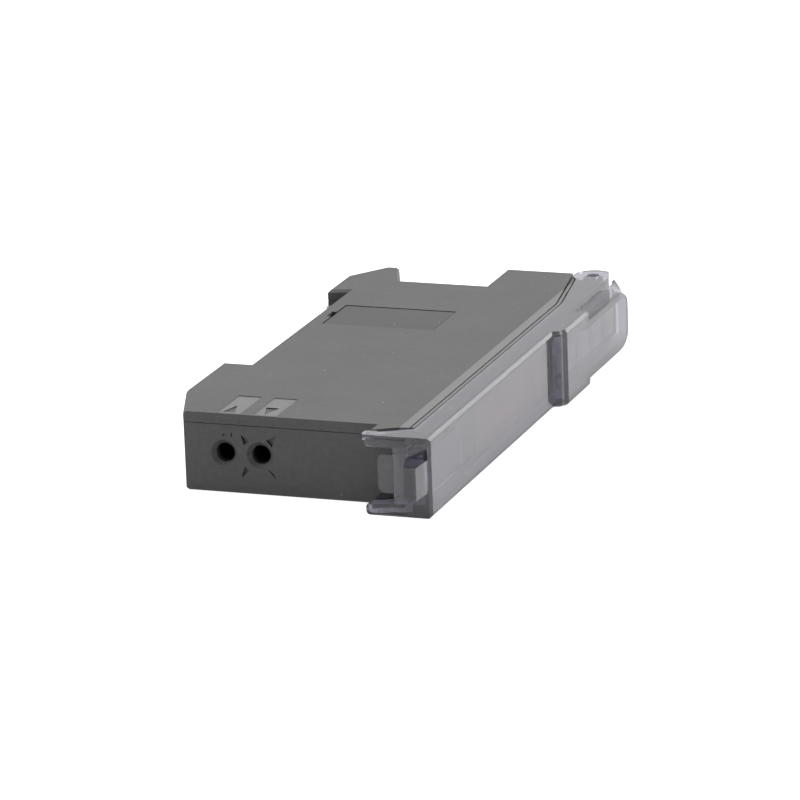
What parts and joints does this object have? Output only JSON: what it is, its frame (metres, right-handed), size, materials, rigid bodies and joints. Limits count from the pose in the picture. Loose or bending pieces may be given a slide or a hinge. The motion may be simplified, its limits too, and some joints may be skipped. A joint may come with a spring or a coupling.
{
  "type": "fibre optic sensor amplifier",
  "caption": "Slim fibre optic sensor amplifier for rail mounting, lying on its side, with a hinged smoke cover over its displays and buttons.",
  "frame": {"origin": "centre of the bounding box, on the broad side face that it lies on", "axes": "+X from the rail side to the cover, +Y from the fibre end to the plug end, +Z through the thickness"},
  "size_m": [0.0374, 0.0818, 0.01],
  "materials": {
    "case_plastic": "fine spark-eroded texture, dark grey",
    "smoke_polycarbonate": "polished, smoke tinted, see-through",
    "lever_plastic": "moulded, mid grey",
    "panel_plastic": "moulded, black",
    "window_lens": "polished, dark tinted",
    "clear_lens": "clear moulded resin",
    "display_face": "grey potted face",
    "key_plastic": "moulded, light grey",
    "switch_plastic": "moulded, black",
    "socket_plastic": "moulded, black",
    "board_laminate": "glass epoxy with green solder mask",
    "chip_epoxy": "moulded epoxy",
    "tinned_steel": "tinned sheet",
    "spring_steel": "bright spring steel",
    "pin_steel": "ground steel",
    "contact_brass": "gold flashed brass"
  },
  "bodies": {
    "housing": {"case_body": "case_plastic", "side_plate": "case_plastic", "clamp_spring": "spring_steel", "lever_pin": "pin_steel", "operating_panel": "panel_plastic", "display_window": "window_lens", "indicator_lens": "clear_lens", "level_display": "display_face", "threshold_display": "display_face", "indicator_lamps": "clear_lens", "tune_switch": "switch_plastic", "mode_switch": "switch_plastic", "up_switch": "switch_plastic", "down_switch": "switch_plastic", "main_board": "board_laminate", "display_board": "board_laminate", "board_header": "switch_plastic", "controller_chip": "chip_epoxy", "analogue_chip": "chip_epoxy", "shield_can": "tinned_steel", "supply_capacitor": "chip_epoxy", "inductor": "chip_epoxy", "link_connector": "socket_plastic", "link_contacts": "contact_brass", "power_socket": "socket_plastic", "power_pins": "contact_brass", "optic_block": "panel_plastic", "receiver_diode": "clear_lens", "emitter_led": "clear_lens"},
    "cover": {"protective_cover": "smoke_polycarbonate"},
    "lever": {"lock_lever": "lever_plastic"},
    "clamp": {"fibre_clamp": "lever_plastic"},
    "tune_key": {"tune_button": "key_plastic"},
    "mode_key": {"mode_button": "key_plastic"},
    "up_key": {"up_button": "key_plastic"},
    "down_key": {"down_button": "key_plastic"},
    "port_lid_top": {"port_cover_top": "case_plastic"},
    "port_lid_bottom": {"port_cover_bottom": "case_plastic"},
    "rail_leaf": {"rail_spring": "spring_steel"}
  },
  "joints": [
    {"name": "cover_hinge", "type": "hinge", "parent": "housing", "child": "cover", "pos_m": [0.0139, 0.0369, 0.005], "axis": [0, 0, 1], "range_deg": [0, 95]},
    {"name": "lever_hinge", "type": "hinge", "parent": "housing", "child": "lever", "pos_m": [0.0145, -0.0226, 0.005], "axis": [0, 0, 1], "range_deg": [0, 67]},
    {"name": "clamp_slide", "type": "slide", "parent": "housing", "child": "clamp", "axis": [1, 0, 0], "range_m": [0, 0.0006]},
    {"name": "tune_press", "type": "slide", "parent": "housing", "child": "tune_key", "axis": [-1, 0, 0], "range_m": [0, 0.00025], "stiffness_N_per_m": 400},
    {"name": "mode_press", "type": "slide", "parent": "housing", "child": "mode_key", "axis": [-1, 0, 0], "range_m": [0, 0.00025], "stiffness_N_per_m": 400},
    {"name": "up_press", "type": "slide", "parent": "housing", "child": "up_key", "axis": [-1, 0, 0], "range_m": [0, 0.00025], "stiffness_N_per_m": 400},
    {"name": "down_press", "type": "slide", "parent": "housing", "child": "down_key", "axis": [-1, 0, 0], "range_m": [0, 0.00025], "stiffness_N_per_m": 400},
    {"name": "port_lid_top_pull", "type": "slide", "parent": "housing", "child": "port_lid_top", "axis": [0, 0, 1], "range_m": [0, 0.004]},
    {"name": "port_lid_bottom_pull", "type": "slide", "parent": "housing", "child": "port_lid_bottom", "axis": [0, 0, -1], "range_m": [0, 0.004]},
    {"name": "rail_spring_flex", "type": "slide", "parent": "housing", "child": "rail_leaf", "axis": [0, 1, 0], "range_m": [0, 0.0008], "stiffness_N_per_m": 1500}
  ],
  "couplings": [
    {"joint": "lever_hinge", "follows": "cover_hinge", "ratio": 0.7},
    {"joint": "clamp_slide", "follows": "cover_hinge", "m_per_rad": 0.00036}
  ]
}
